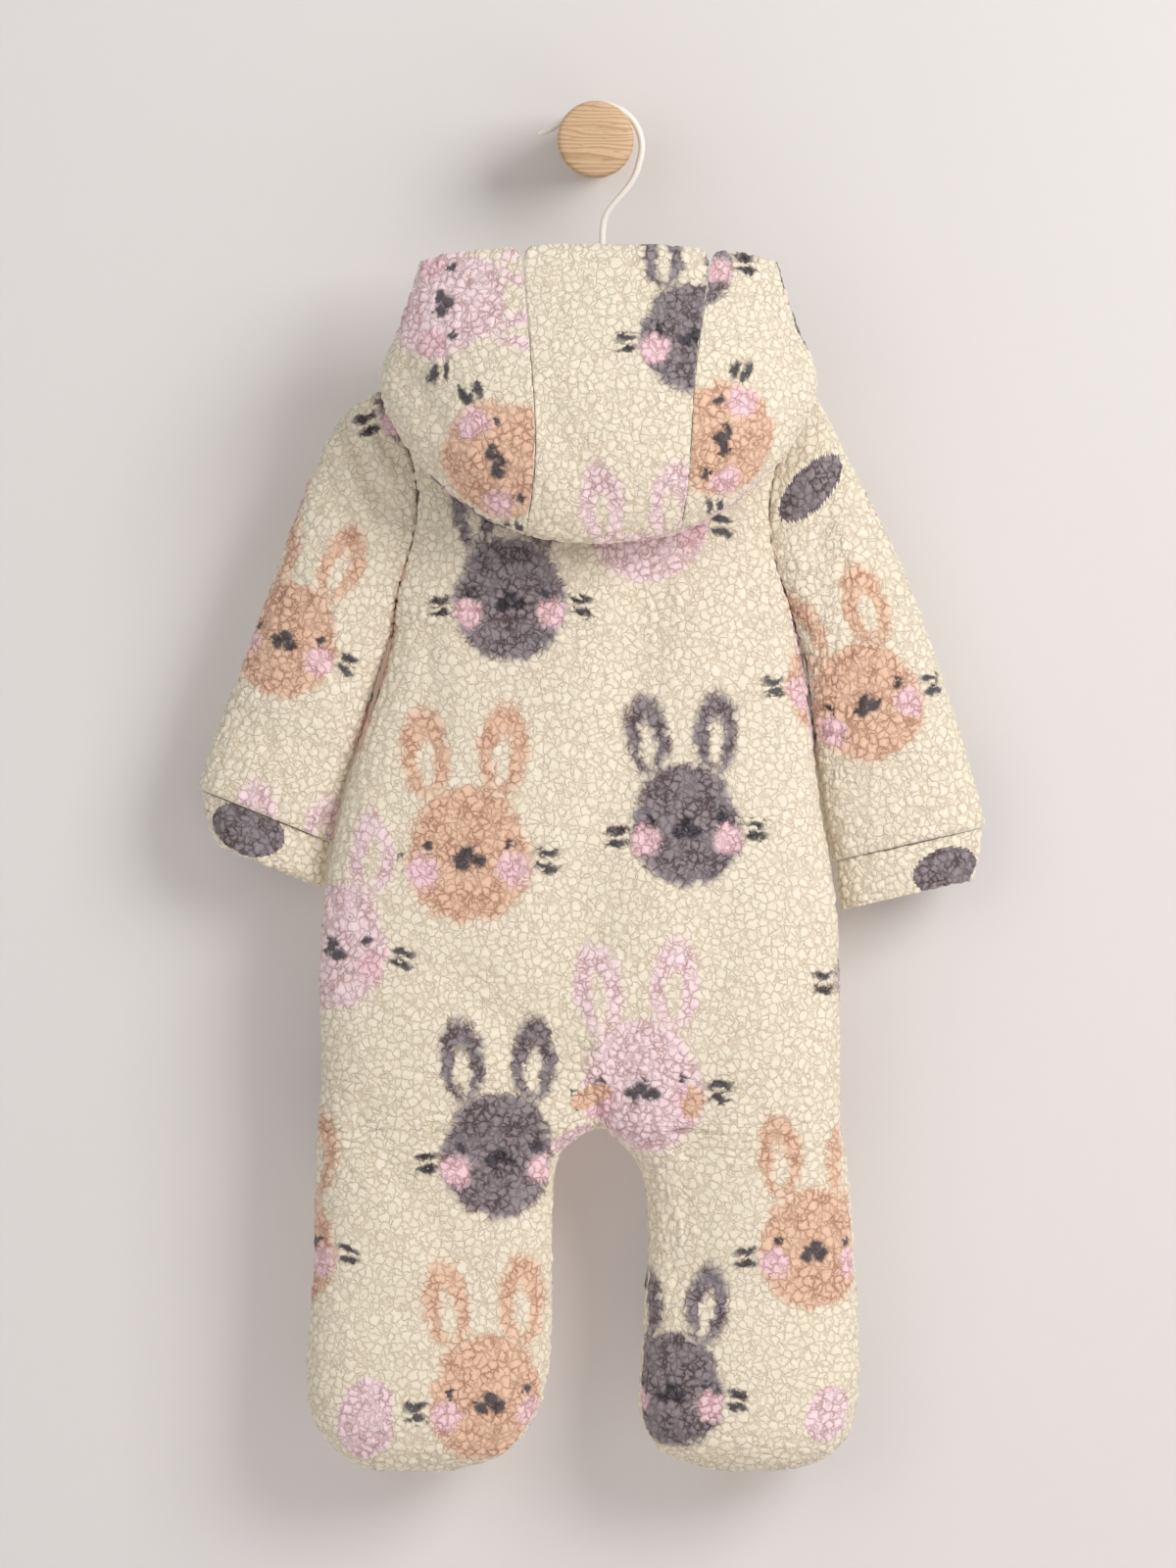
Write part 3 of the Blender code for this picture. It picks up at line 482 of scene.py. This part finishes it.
print(sum(len(rows) for rows in SEEN.values()), "rabbits and scraps on the sides that show")

# %% [markdown]
# Each rabbit is drawn in its own flat coordinates, kept as a UV map: its face has a radius of
# 1 round the origin. The cloth is curved, so a point's distance from the rabbit is measured
# through space and not on the flat chart, which stops the print from stretching at the sides.

# %% Lay the print on the cloth
PLAIN_SPOT, PLAIN_SHARE = (0.0, 0.6), 0.25  # a part of the face with nothing drawn on it
NOWHERE = 9.0  # a coordinate where nothing is drawn
MOST_REACH = 1.15  # of the oval round face and ears
OVAL_HALF, OVAL_UP = (1.5, 1.95), 0.75
SIDE_DEPTH = 15 * MM  # how far round a side a rabbit goes
FACES, TURNS_AWAY, IS_SIDE = 0.2, -0.35, 0.5  # how much a normal points to the print's side


def flat(places, anchor, size, turn):
    """Where places lie in the rabbit's own coordinates."""
    off = places - anchor
    across = np.hypot(off[:, 0], off[:, 2])
    grow = np.minimum(np.linalg.norm(off, axis=1) / np.maximum(across, 1e-6), 2.0)
    cosine, sine = math.cos(math.radians(turn)), math.sin(math.radians(turn))
    wide, tall = size if isinstance(size, tuple) else (size, size)
    u = (off[:, 0] * cosine - off[:, 2] * sine) * grow / (wide * UNIT)
    v = (off[:, 0] * sine + off[:, 2] * cosine) * grow / (tall * UNIT)
    return u, v


def lay_print(node, made):
    """Give every corner its place in the nearest rabbit and that rabbit's ink."""
    mesh = made.data
    count = len(mesh.polygons)
    centres, normals = np.zeros(count * 3), np.zeros(count * 3)
    mesh.polygons.foreach_get("center", centres)
    mesh.polygons.foreach_get("normal", normals)
    centres, normals = centres.reshape(-1, 3), normals.reshape(-1, 3)
    flags, totals = np.zeros(count, np.int32), np.zeros(count, np.int32)
    mesh.attributes["outside"].data.foreach_get("value", flags)
    mesh.polygons.foreach_get("loop_total", totals)
    points, corners = np.zeros(len(mesh.vertices) * 3), np.zeros(len(mesh.loops), np.int32)
    mesh.vertices.foreach_get("co", points)
    mesh.loops.foreach_get("vertex_index", corners)
    points = points.reshape(-1, 3)[corners]

    rows = [(row, -1) for row in SEEN[node]] + [(row, 1) for row in hidden_rows(node)]
    sideways = np.abs(normals[:, 1]) < IS_SIDE
    nearest, chosen, anchors = np.full(count, MOST_REACH), np.full(count, -1), {}
    for number, ((ink, right, down, size, turn), way) in enumerate(rows):
        x, z = chart_place(right, down)
        facing = (flags > 0) & (normals[:, 1] * way > TURNS_AWAY)
        front = np.where(facing & (normals[:, 1] * way > FACES))[0]
        if not len(front):
            continue
        gap = np.hypot(centres[front, 0] - x, centres[front, 2] - z)
        near = front[gap < gap.min() + 2 * MM]
        depth = (centres[near, 1] * way).max() * way
        anchors[number] = np.array([x, depth, z])
        u, v = flat(centres, anchors[number], size, turn)
        reach = np.hypot(u / OVAL_HALF[0], (v - OVAL_UP) / OVAL_HALF[1])
        reach[sideways & (np.abs(centres[:, 1] - depth) > SIDE_DEPTH)] = NOWHERE
        if isinstance(size, tuple):
            reach = np.where(np.hypot(u, v) < 1, 0.0, NOWHERE)
        wins = facing & (reach < nearest)
        nearest[wins], chosen[wins] = reach[wins], number

    local = np.full((len(corners), 2), NOWHERE)
    inks = np.tile(np.array(INKS["grey"], np.float32), (len(corners), 1))
    for number, anchor in anchors.items():
        ink, right, down, size, turn = rows[number][0]
        mine = np.repeat(chosen == number, totals)
        local[mine] = np.stack(flat(points[mine], anchor, size, turn), axis=1)
        if isinstance(size, tuple):
            local[mine] = local[mine] * PLAIN_SHARE + PLAIN_SPOT
        inks[mine] = INKS[ink]
    uv = mesh.uv_layers.new(name="print")
    uv.data.foreach_set("uv", local.ravel().astype(np.float32))
    ink_layer = mesh.color_attributes.new("ink", "FLOAT_COLOR", "CORNER")
    ink_layer.data.foreach_set("color", inks.ravel())
    return int((chosen >= 0).sum())


for node, made in cloth.items():
    print(node, "printed faces:", lay_print(node, made))

# %% [markdown]
# ## Raising the pile
#
# A geometry node tree runs the same pile recipe on the mesh. Each point moves out along its
# normal by the height of its tuft, so the outline of the cloth turns fuzzy and the tufts cast
# small shadows. The result is then applied, so nothing stays live.

# %% Raise the tufts on the mesh
PILE_HIGH = 1.0 * MM  # from a crack to the top of a tuft
PILE_DEEP = 0.5 * MM  # how much of that lies below the panel's surface
LUMPS, LUMP_SCALE = 2.6 * MM, 0.2 / MM


def pile_tree():
    tree = bpy.data.node_groups.new("raise_pile", "GeometryNodeTree")
    tree.interface.new_socket("Mesh", in_out="INPUT", socket_type="NodeSocketGeometry")
    tree.interface.new_socket("Mesh", in_out="OUTPUT", socket_type="NodeSocketGeometry")
    cloth_in = Wire(tree, tree.nodes.new("NodeGroupInput").outputs[0])
    place = cloth_in.node("GeometryNodeInputPosition")
    normal = cloth_in.node("GeometryNodeInputNormal")
    share = cloth_in.node("GeometryNodeInputNamedAttribute", {"data_type": "FLOAT"}, Name="pile")
    height = tufts(place)[0]
    lumps = place.noise(LUMP_SCALE, 1.0)
    lift = (height * PILE_HIGH - PILE_DEEP + (lumps - 0.5) * LUMPS) * share
    move = normal.vector("SCALE", normal)
    tree.links.new(lift.socket, move.socket.node.inputs["Scale"])
    moved = cloth_in.node("GeometryNodeSetPosition", Geometry=cloth_in, Offset=move)
    plug(moved, tree.nodes.new("NodeGroupOutput").inputs[0])
    return tree


raise_pile = pile_tree()
for made in cloth.values():
    share = made.data.attributes.new("pile", "FLOAT", "POINT")
    share.data.foreach_set("value", outside_points(made.data))
    made.modifiers.new("pile", "NODES").node_group = raise_pile
    applied(made)
    made.data.polygons.foreach_set("use_smooth", np.ones(len(made.data.polygons), bool))
print("pile raised on", len(cloth), "panels")

# %% [markdown]
# ## The fleece's finish
#
# The ink sits on the tips of the tufts, so the outline of each printed shape follows the tufts:
# the drawing's coordinates are shifted by one random step per tuft. The drawing is symmetric,
# so it needs only the distance from the middle line. It has a round face, two long ears with
# a pale middle, two dots for eyes, a soft nose, round cheeks and short whiskers.

# %% Draw the rabbit
DARK = colour(78, 76, 84)
CREAM = colour(242, 232, 211)
BLUSH = colour(252, 216, 224)
TUFT_STEP = 0.1  # how far a tuft may carry its ink
WOBBLE, WOBBLE_SCALE = 0.06, 9.0


def oval(u, v, middle, half, lean=0.0, soft=0.09):
    """1 inside an oval, 0 outside, with a soft edge. It leans by some degrees."""
    du, dv = u - middle[0], v - middle[1]
    cosine, sine = math.cos(math.radians(lean)), math.sin(math.radians(lean))
    along = (du * cosine - dv * sine) / half[0]
    up = (du * sine + dv * cosine) / half[1]
    blur = soft / min(half)
    return 1 - ((along * along + up * up) ** 0.5).ramp(1 - blur, 1 + blur)


def rabbit(place, cell):
    """(share of ink, of blush, of dark) at each place of the cloth."""
    chart = place.node("ShaderNodeUVMap", {"uv_map": "print"})
    step = place.vector("SUBTRACT", cell, (0.5, 0.5, 0.5))
    shifted = place.vector("MULTIPLY_ADD", step, (TUFT_STEP, TUFT_STEP, 0.0), chart)
    drawn = shaken(shifted, WOBBLE_SCALE, WOBBLE)
    split = place.node("ShaderNodeSeparateXYZ", {}, 0, Vector=drawn)
    side = split.size()
    v = Wire(place.tree, split.socket.node.outputs[1])
    face = oval(side, v, (0.0, -0.03), (1.02, 1.0))
    face = face.at_least(oval(side, v, (0.0, 0.50), (0.84, 0.66)))
    ear = oval(side, v, (0.63, 1.72), (0.40, 0.76), 5)
    middle = oval(side, v, (0.62, 1.56), (0.14, 0.42), 5, 0.06)
    ink = face.at_least(ear * (1 - middle))
    blush = oval(side, v, (0.76, -0.19), (0.27, 0.27))
    dark = oval(side, v, (0.0, 0.09), (0.13, 0.12), 0, 0.05)  # the nose, in two steps
    dark = dark.at_least(oval(side, v, (0.14, -0.04), (0.14, 0.12), 0, 0.05))
    dark = dark.at_least(oval(side, v, (0.67, 0.21), (0.085, 0.085), 0, 0.04))  # the eyes
    for high in (0.04, -0.18):  # two whiskers a side
        dark = dark.at_least(oval(side, v, (1.27, high), (0.20, 0.074), 8, 0.035))
    return ink, blush * face, dark


print("cheeks, nose, eyes and whiskers are drawn over the face")

# %% [markdown]
# Light reaches less deep into the cracks between tufts, where they look darker and warmer.
# That shade is painted: a tint is multiplied into the colour at the cracks, deepest in dark
# ink but not on the cheeks. A Bump node gives each tuft its round top and fine fibres. A soft
# sheen stands for the fibre ends that catch the light at the edges.

# %% The fleece material
NARROW, BROAD = 0.13, 0.40  # two widths of a crack, as shares of a tuft
# Painted shade: the tints multiplied into the cracks, for cream, for light ink and for dark ink.
CREAM_CRACK_SHADE, INK_CRACK_SHADE, DUSKY_CRACK_SHADE = colour(204, 166, 114), colour(168, 124, 106), colour(126, 114, 116)


def fleece():
    made, place, entry = material("curly_fleece", 0.9, Sheen_Weight=0.3, Sheen_Roughness=0.5,
                                  Specular_IOR_Level=0.1)
    height, wall, cell = tufts(place, 0.24)
    ink, blush, dark = rabbit(place, cell)
    ink_colour = place.node("ShaderNodeVertexColor", {"layer_name": "ink"})
    patchy = place.noise(0.12 / MM, 2.0)
    fibres = place.noise(1.7 / MM, 3.0)
    cream = patchy.ramp(0.35, 0.65).blend(CREAM, colour(246, 238, 220))
    cloth_colour = ink.blend(cream, ink_colour)
    cloth_colour = blush.blend(cloth_colour, BLUSH)
    cloth_colour = (dark * 0.94).blend(cloth_colour, DARK)
    deep = patchy.ramp(0.36, 0.60) * 0.65 + 0.35
    inked = ink.at_least(dark)
    ink_red = place.node("ShaderNodeSeparateColor", {}, 0, Color=ink_colour)
    dusky = (1 - ink_red) * (1 - blush)
    # Painted shade in the cracks: a narrow and a broad falloff, made patchy by deep and strongest in
    # dark ink; a fine random fibre tone is added to it.
    near, far = 1 - wall.ramp(0.0, NARROW), 1 - wall.ramp(0.0, BROAD)
    crack = near * (0.58 - inked * 0.16) + far * (inked * (dusky * 0.2 + 0.28) + 0.14)
    shade = place.node("ShaderNodeMix", {"data_type": "RGBA", "blend_type": "MULTIPLY"}, 2)
    mixer = shade.socket.node
    painted_shade_and_fibre_tone = crack * deep * (inked * (dusky * 0.5 + 0.2) + 0.5)
    painted_shade_and_fibre_tone = painted_shade_and_fibre_tone + (1 - fibres.ramp(0.25, 0.65)) * 0.12
    plug(painted_shade_and_fibre_tone.at_most(0.9), mixer.inputs[0])
    plug(cloth_colour, mixer.inputs[6])
    plug(inked.blend(CREAM_CRACK_SHADE, dusky.blend(INK_CRACK_SHADE, DUSKY_CRACK_SHADE)), mixer.inputs[7])
    plug(shade, entry["Base Color"])
    bump(height * 0.54 + fibres * 0.3, entry, 1.0, 0.75 * MM)
    return made


def knit_back():
    """The smooth side of the fleece: a fine plain knit, seen only inside."""
    made, place, entry = material("knit_back", 0.9, Sheen_Weight=0.2)
    rows = place.node("ShaderNodeTexWave", {"bands_direction": "Z"}, 0, Vector=place,
                      Scale=0.35 / MM, Distortion=1.5, Detail=1.0)
    plug(rows.blend(colour(226, 217, 198), CREAM), entry["Base Color"])
    bump(rows, entry, 0.5, 0.3 * MM)
    return made


curly, knit = fleece(), knit_back()
for node, made in cloth.items():
    mesh = made.data
    mesh.materials.clear()
    mesh.materials.append(curly)
    mesh.materials.append(knit)
    flags = np.zeros(len(mesh.polygons), np.int32)
    mesh.attributes["outside"].data.foreach_get("value", flags)
    mesh.polygons.foreach_set("material_index", 1 - flags)
    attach(made, "root")
    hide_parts(node)
print("finished", curly.name, "and", knit.name)

# %% [markdown]
# ## How the panels were cut
#
# Every panel is a sheet of cloth, so the size that it was cut to is listed: the
# rectangle it was cut from, and its own flat area.

# %% State the cuts
CUTS = {  # width, length and area of the flat piece, in metres
    "back": (0.31, 0.62, 0.158), "front_left": (0.16, 0.62, 0.079),
    "front_right": (0.15, 0.62, 0.072), "sleeve_left": (0.19, 0.26, 0.0355),
    "sleeve_right": (0.195, 0.265, 0.037), "cuff_left": (0.16, 0.032, 0.0045),
    "cuff_right": (0.17, 0.034, 0.0048), "hood_centre": (0.105, 0.24, 0.0218),
    "hood_side_left": (0.15, 0.20, 0.0243), "hood_side_right": (0.145, 0.19, 0.0216),
}
for node, (width, length, area) in CUTS.items():
    holder = "hanger_arms" if node in ("back", "front_left", "front_right") else "back_cloth"
    if node.startswith("cuff"):
        holder = node.replace("cuff", "sleeve") + "_cloth"
print(len(CUTS), "cuts stated")

# %% [markdown]
# ## Peg, hook and hanger
#
# The peg is a turned disc of pale hardwood whose grain runs across its face. The hook and the
# arms under the cloth are one kind of steel wire, painted glossy white. The solids have the
# right shape, so each is welded, rounded and given its own material.

# %% Wood and paint
RING_STEP = 2.6 * MM
HARD_CREASE = 0.85


def peg_wood():
    made, place, entry = material("peg_wood", 0.5, Specular_IOR_Level=0.35)
    grain_place = place.node("ShaderNodeMapping", {}, 0, Vector=place, Scale=(0.16, 0.3, 1.0))
    bend = grain_place.noise(0.09 / MM, 2.0)
    height = place.node("ShaderNodeSeparateXYZ", {}, 2, Vector=place)
    rings = (height / RING_STEP + bend * 5.0) % 1.0
    fine = grain_place.noise(1.1 / MM, 4.0)
    late = rings.ramp(0.35, 0.95)
    wood = late.blend(colour(216, 184, 148), colour(190, 152, 114))
    wood = (fine.ramp(0.52, 0.75) * 0.45).blend(wood, colour(156, 116, 82))
    plug(wood, entry["Base Color"])
    plug(late * 0.12 + 0.45, entry["Roughness"])
    bump(fine, entry, 0.25, 0.3 * MM)
    return made


def paint():
    made, place, entry = material("white_paint", 0.32, Coat_Weight=0.3, Coat_Roughness=0.2)
    specks = place.noise(0.5 / MM, 3.0)
    plug(specks.blend(colour(240, 234, 222), colour(248, 245, 238)), entry["Base Color"])
    plug(specks * 0.15 + 0.25, entry["Roughness"])
    bump(specks, entry, 0.15, 0.1 * MM)
    return made


def rigid_copy(node, name, finish, bend):
    """A smooth copy of a rigid solid, which replaces it. Bends over that many degrees stay."""
    sheet = welded(node)
    bmesh.ops.join_triangles(sheet, faces=sheet.faces, angle_face_threshold=0.3,
                             angle_shape_threshold=0.8, cmp_materials=False)
    crease = sheet.edges.layers.float.new("crease_edge")
    for edge in sheet.edges:
        if len(edge.link_faces) == 2 and edge.calc_face_angle(0) > math.radians(bend):
            edge[crease] = HARD_CREASE
    made = rounded(as_object(sheet, name), 1)
    made.data.polygons.foreach_set("use_smooth", np.ones(len(made.data.polygons), bool))
    made.data.set_sharp_from_angle(angle=math.radians(bend))
    made.data.materials.clear()
    made.data.materials.append(finish)
    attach(made, "root")
    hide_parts(node)
    return made


wood, white = peg_wood(), paint()
peg = rigid_copy("wall_peg", "peg_turned", wood, 40)
hook = rigid_copy("hanger_hook", "hook_wire", white, 60)
arms = rigid_copy("hanger_arms", "arm_wire", white, 60)
print("peg, hook and arms:", [len(p.data.polygons) for p in (peg, hook, arms)], "faces")

# %% [markdown]
# ## The zip
#
# The front opens with a zip that faces the wall. Its tape is a fine twill, and its slider and
# pull tab are a soft grey metal. Two rows of small moulded teeth run along the tape.

# %% Zip finishes
def zip_tape():
    made, place, entry = material("zip_tape", 0.8, Sheen_Weight=0.15)
    twill = place.node("ShaderNodeTexWave", {"bands_direction": "DIAGONAL"}, 0, Vector=place,
                       Scale=0.28 / MM, Distortion=0.4)
    plug(twill.blend(colour(222, 214, 196), colour(238, 231, 215)), entry["Base Color"])
    bump(twill, entry, 0.6, 0.3 * MM)
    return made


def zip_metal():
    made, place, entry = material("zip_metal", 0.35, Metallic=1.0)
    rub = place.noise(0.8 / MM, 4.0)
    plug(rub.blend(colour(176, 174, 172), colour(214, 212, 210)), entry["Base Color"])
    plug(rub * 0.25 + 0.2, entry["Roughness"])
    bump(rub, entry, 0.1, 0.1 * MM)
    return made


def tooth_plastic():
    made, place, entry = material("tooth_plastic", 0.35, Coat_Weight=0.2)
    cloudy = place.noise(0.6 / MM, 2.0)
    plug(cloudy.blend(colour(232, 226, 212), colour(243, 238, 226)), entry["Base Color"])
    plug(cloudy * 0.15 + 0.28, entry["Roughness"])
    bump(cloudy, entry, 0.1, 0.1 * MM)
    return made


tape, metal, plastic = zip_tape(), zip_metal(), tooth_plastic()
for node, finish in (("zip", tape), ("zip_slider", metal), ("zip_pull", metal)):
    for slot in frame["nodes"][node].material_slots:
        slot.material = finish
print("zip materials:", tape.name, metal.name)

# %% [markdown]
# Each tooth is a small bevelled block. The two rows are half a step apart, as closed teeth
# are. The tape's own points tell where its outer face lies at each height.

# %% Zip teeth
TOOTH_STEP = 2.4 * MM
TOOTH_SIZE = Vector((1.9, 1.3, 1.25)) * MM
TOOTH_OUT = 0.95 * MM  # from the zip's middle line
TOOTH_BEVEL = 0.28 * MM
BARE_LOW, BARE_HIGH = 5 * MM, 4 * MM  # the tape's ends, which have no teeth
NEARBY = 9 * MM


def zip_teeth():
    tape_points = np.array([v.co for v in frame["nodes"]["zip"].data.vertices])
    low, high = tape_points[:, 2].min() + BARE_LOW, tape_points[:, 2].max() - BARE_HIGH
    row = bmesh.new()
    count = int((high - low) / TOOTH_STEP * 2)
    for number in range(count):
        z = low + number * TOOTH_STEP / 2
        near = tape_points[np.abs(tape_points[:, 2] - z) < NEARBY]
        slope = np.polyfit(near[:, 2], near[:, 1], 1) if len(near) > 3 else (0, near[0, 1])
        face = near[near[:, 1] > np.polyval(slope, near[:, 2])]
        y = np.polyval(np.polyfit(face[:, 2], face[:, 1], 1), z)
        x = (near[:, 0].min() + near[:, 0].max()) / 2 + (TOOTH_OUT if number % 2 else -TOOTH_OUT)
        bmesh.ops.create_cube(row, size=1, matrix=Matrix.LocRotScale((x, y, z), None, TOOTH_SIZE))
    bmesh.ops.bevel(row, geom=row.edges[:], offset=TOOTH_BEVEL, segments=1, profile=0.5,
                    affect="EDGES", material=-1)
    made = as_object(row, "zip_teeth")
    made.data.materials.append(plastic)
    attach(made, "root")
    return count


print(zip_teeth(), "teeth")

# %% [markdown]
# ## Studio
#
# The picture is taken against a pale warm wall in soft light from the right. The wall and the
# floor aren't part of the object. The wall has one side only:
# from behind it is clear, so that the front of the garment can be looked at too.

# %% Wall, floor and light
WALL_Y, FLOOR_Z = 0.0006, -1.1


def plain_plane(name, corners, tone, one_sided):
    sheet = bmesh.new()
    sheet.faces.new([sheet.verts.new(c) for c in corners])
    made = as_object(sheet, name)
    finish, place, entry = material(name + "_paint", 0.9, Specular_IOR_Level=0.1)
    mottled = place.noise(3.0, 2.0)
    plug(mottled.blend(tone, tuple(c * 0.985 for c in tone[:3]) + (1.0,)), entry["Base Color"])
    if one_sided:
        tree = finish.node_tree
        back = Wire(tree, tree.nodes.new("ShaderNodeNewGeometry").outputs["Backfacing"])
        clear = tree.nodes.new("ShaderNodeBsdfTransparent")
        mix = tree.nodes.new("ShaderNodeMixShader")
        plug(back, mix.inputs[0])
        tree.links.new(tree.nodes["Principled BSDF"].outputs[0], mix.inputs[1])
        tree.links.new(clear.outputs[0], mix.inputs[2])
        tree.links.new(mix.outputs[0], tree.nodes["Material Output"].inputs[0])
        made.visible_shadow = made.visible_diffuse = made.visible_glossy = False
    made.data.materials.append(finish)
    return made


WALL_CORNERS = [(x, WALL_Y, z) for x, z in ((-6, FLOOR_Z), (6, FLOOR_Z), (6, 4), (-6, 4))]
FLOOR_CORNERS = [(x, y, FLOOR_Z) for x, y in ((-14, -14), (14, -14), (14, 14), (-14, 14))]
wall = plain_plane("studio_wall", WALL_CORNERS, colour(224, 220, 219), True)
plain_plane("studio_floor", FLOOR_CORNERS, colour(232, 226, 224), False)


def area_light(name, place, aim, size, watts, tone):
    lamp = bpy.data.lights.new(name, "AREA")
    lamp.size, lamp.energy, lamp.color = size, watts, tone
    made = bpy.data.objects.new(name, lamp)
    made.location = place
    made.rotation_euler = (Vector(aim) - Vector(place)).to_track_quat("-Z", "Y").to_euler()
    made.visible_camera = False
    bpy.context.scene.collection.objects.link(made)


area_light("key", (1.7, -1.8, 0.7), (0, 0, -0.35), 1.3, 43, (1.0, 0.99, 0.975))
area_light("fill", (-1.6, -2.6, 0.2), (0, 0, -0.4), 2.0, 10, (0.97, 0.98, 1.0))
area_light("back", (1.2, 2.6, 0.6), (0, 0, -0.4), 2.0, 26, (1.0, 0.99, 0.98))
world = bpy.data.worlds.new("studio")
world.use_nodes = True
world.node_tree.nodes["Background"].inputs[0].default_value = (0.95, 0.945, 0.94, 1)
world.node_tree.nodes["Background"].inputs[1].default_value = 0.55
bpy.context.scene.world = world
bpy.context.scene.view_settings.view_transform = "Standard"
print("wall faces -Y:", wall.data.polygons[0].normal.y < 0)
